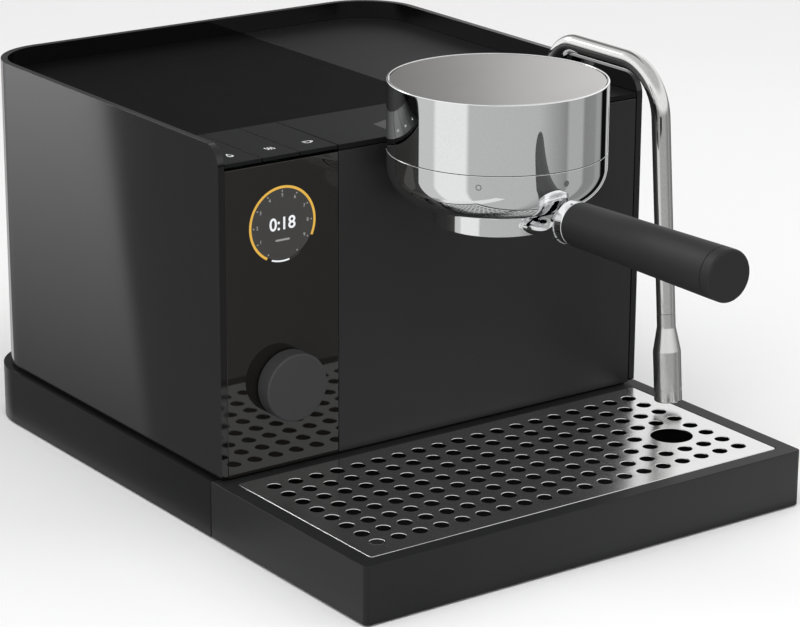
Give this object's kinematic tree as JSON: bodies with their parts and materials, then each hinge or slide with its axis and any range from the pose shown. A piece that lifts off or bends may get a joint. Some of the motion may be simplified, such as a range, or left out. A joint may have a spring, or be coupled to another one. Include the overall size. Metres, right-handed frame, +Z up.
{
  "type": "espresso machine",
  "caption": "Semi-automatic espresso machine with a round brew group, a bottomless portafilter, a swivelling steam wand, a dial display and a slide-out drip tray.",
  "frame": {"origin": "on the table, at the middle of the overall width and of the overall length from the end of the portafilter handle to the back of the base", "axes": "+X to the right as the user faces the machine, +Y towards the back, +Z up; the front faces -Y"},
  "size_m": [0.3, 0.5142, 0.2514],
  "materials": {
    "satin_black": "satin black powder-coated panels",
    "gloss_black": "gloss black casing",
    "display_glass": "mirror-smooth black glass",
    "chrome": "polished chrome and polished stainless steel",
    "satin_steel": "warm satin metal",
    "grip_black": "soft matte dark grey",
    "rubber": "black rubber",
    "mat_black": "fine woven-look black mat",
    "tank_plastic": "clear smoked plastic",
    "steel": "plain steel",
    "brass": "machined brass",
    "board_green": "circuit board",
    "white_plastic": "off-white plastic",
    "silicone": "clear silicone hose",
    "copper": "bare copper pipe"
  },
  "bodies": {
    "machine": {"base_plinth": "satin_black", "foot_front_left": "rubber", "foot_front_right": "rubber", "foot_back_left": "rubber", "foot_back_right": "rubber", "body_shell": "gloss_black", "chassis_frame": "steel", "front_panel": "satin_black", "display_glass": "display_glass", "display_module": "gloss_black", "encoder_body": "steel", "control_strip": "satin_black", "indicator_lens": "white_plastic", "button_hinge_rod": "steel", "button_board": "board_green", "deck_plate": "steel", "cup_mat": "mat_black", "tank_seat": "white_plastic", "group_collar": "chrome", "group_housing": "chrome", "group_cap": "satin_steel", "group_head": "brass", "group_gasket": "rubber", "shower_screen": "steel", "shower_screw": "steel", "group_bracket": "steel", "wand_collar": "chrome", "boiler": "steel", "steam_heater": "steel", "pump": "steel", "flow_meter": "white_plastic", "solenoid_valve": "steel", "control_board": "board_green", "inlet_socket": "satin_black", "suction_hose": "silicone", "pressure_hose": "silicone", "brew_pipe": "copper", "steam_pipe": "copper", "drain_hose": "silicone"},
    "tray": {"drip_tray": "satin_black", "tray_foot_left": "rubber", "tray_foot_right": "rubber"},
    "grate": {"drip_grate": "chrome"},
    "float": {"tray_float": "white_plastic"},
    "tank": {"water_tank": "tank_plastic"},
    "lid": {"tank_lid": "satin_black"},
    "portafilter": {"portafilter_body": "chrome", "filter_basket": "steel", "basket_spring": "steel", "handle_ferrule": "chrome", "handle_grip": "grip_black", "handle_cap": "grip_black"},
    "wand": {"wand_tube": "chrome", "wand_tip": "chrome"},
    "knob_plunger": {"encoder_plunger": "white_plastic"},
    "control_knob": {"knob": "grip_black", "encoder_shaft": "steel"},
    "key_left": {"button_left": "satin_black"},
    "key_middle": {"button_middle": "satin_black"},
    "key_right": {"button_right": "satin_black"}
  },
  "joints": [
    {"name": "tray_slide", "type": "slide", "parent": "machine", "child": "tray", "axis": [0, -1, 0], "range_m": [0, 0.15]},
    {"name": "grate_lift", "type": "slide", "parent": "tray", "child": "grate", "axis": [0, 0, 1], "range_m": [0, 0.004]},
    {"name": "float_rise", "type": "slide", "parent": "tray", "child": "float", "axis": [0, 0, 1], "range_m": [0, 0.006]},
    {"name": "tank_lift", "type": "slide", "parent": "machine", "child": "tank", "axis": [0, 0, 1], "range_m": [0, 0.17]},
    {"name": "lid_lift", "type": "slide", "parent": "tank", "child": "lid", "axis": [0, 0, 1], "range_m": [0, 0.06]},
    {"name": "portafilter_twist", "type": "hinge", "parent": "machine", "child": "portafilter", "pos_m": [0, -0.066, 0.1857], "axis": [0, 0, 1], "range_deg": [-45, 0]},
    {"name": "wand_swivel", "type": "hinge", "parent": "machine", "child": "wand", "pos_m": [0.1325, 0.052, 0.213], "axis": [0, 0, 1], "range_deg": [-30, 70]},
    {"name": "knob_press", "type": "slide", "parent": "machine", "child": "knob_plunger", "axis": [0, 1, 0], "range_m": [0, 0.0006], "stiffness_N_per_m": 3000, "springref_m": -0.0005},
    {"name": "knob_turn", "type": "hinge", "parent": "knob_plunger", "child": "control_knob", "pos_m": [-0.1035, -0.0137, 0.0837], "axis": [0, 1, 0], "continuous": true},
    {"name": "button_left_press", "type": "hinge", "parent": "machine", "child": "key_left", "pos_m": [-0.1295, 0.0444, 0.2089], "axis": [1, 0, 0], "range_deg": [0, 1.4], "stiffness_Nm_per_rad": 3, "springref_deg": -1.15},
    {"name": "button_middle_press", "type": "hinge", "parent": "machine", "child": "key_middle", "pos_m": [-0.1052, 0.0444, 0.2089], "axis": [1, 0, 0], "range_deg": [0, 1.4], "stiffness_Nm_per_rad": 3, "springref_deg": -1.15},
    {"name": "button_right_press", "type": "hinge", "parent": "machine", "child": "key_right", "pos_m": [-0.0808, 0.0444, 0.2089], "axis": [1, 0, 0], "range_deg": [0, 1.4], "stiffness_Nm_per_rad": 3, "springref_deg": -1.15}
  ]
}
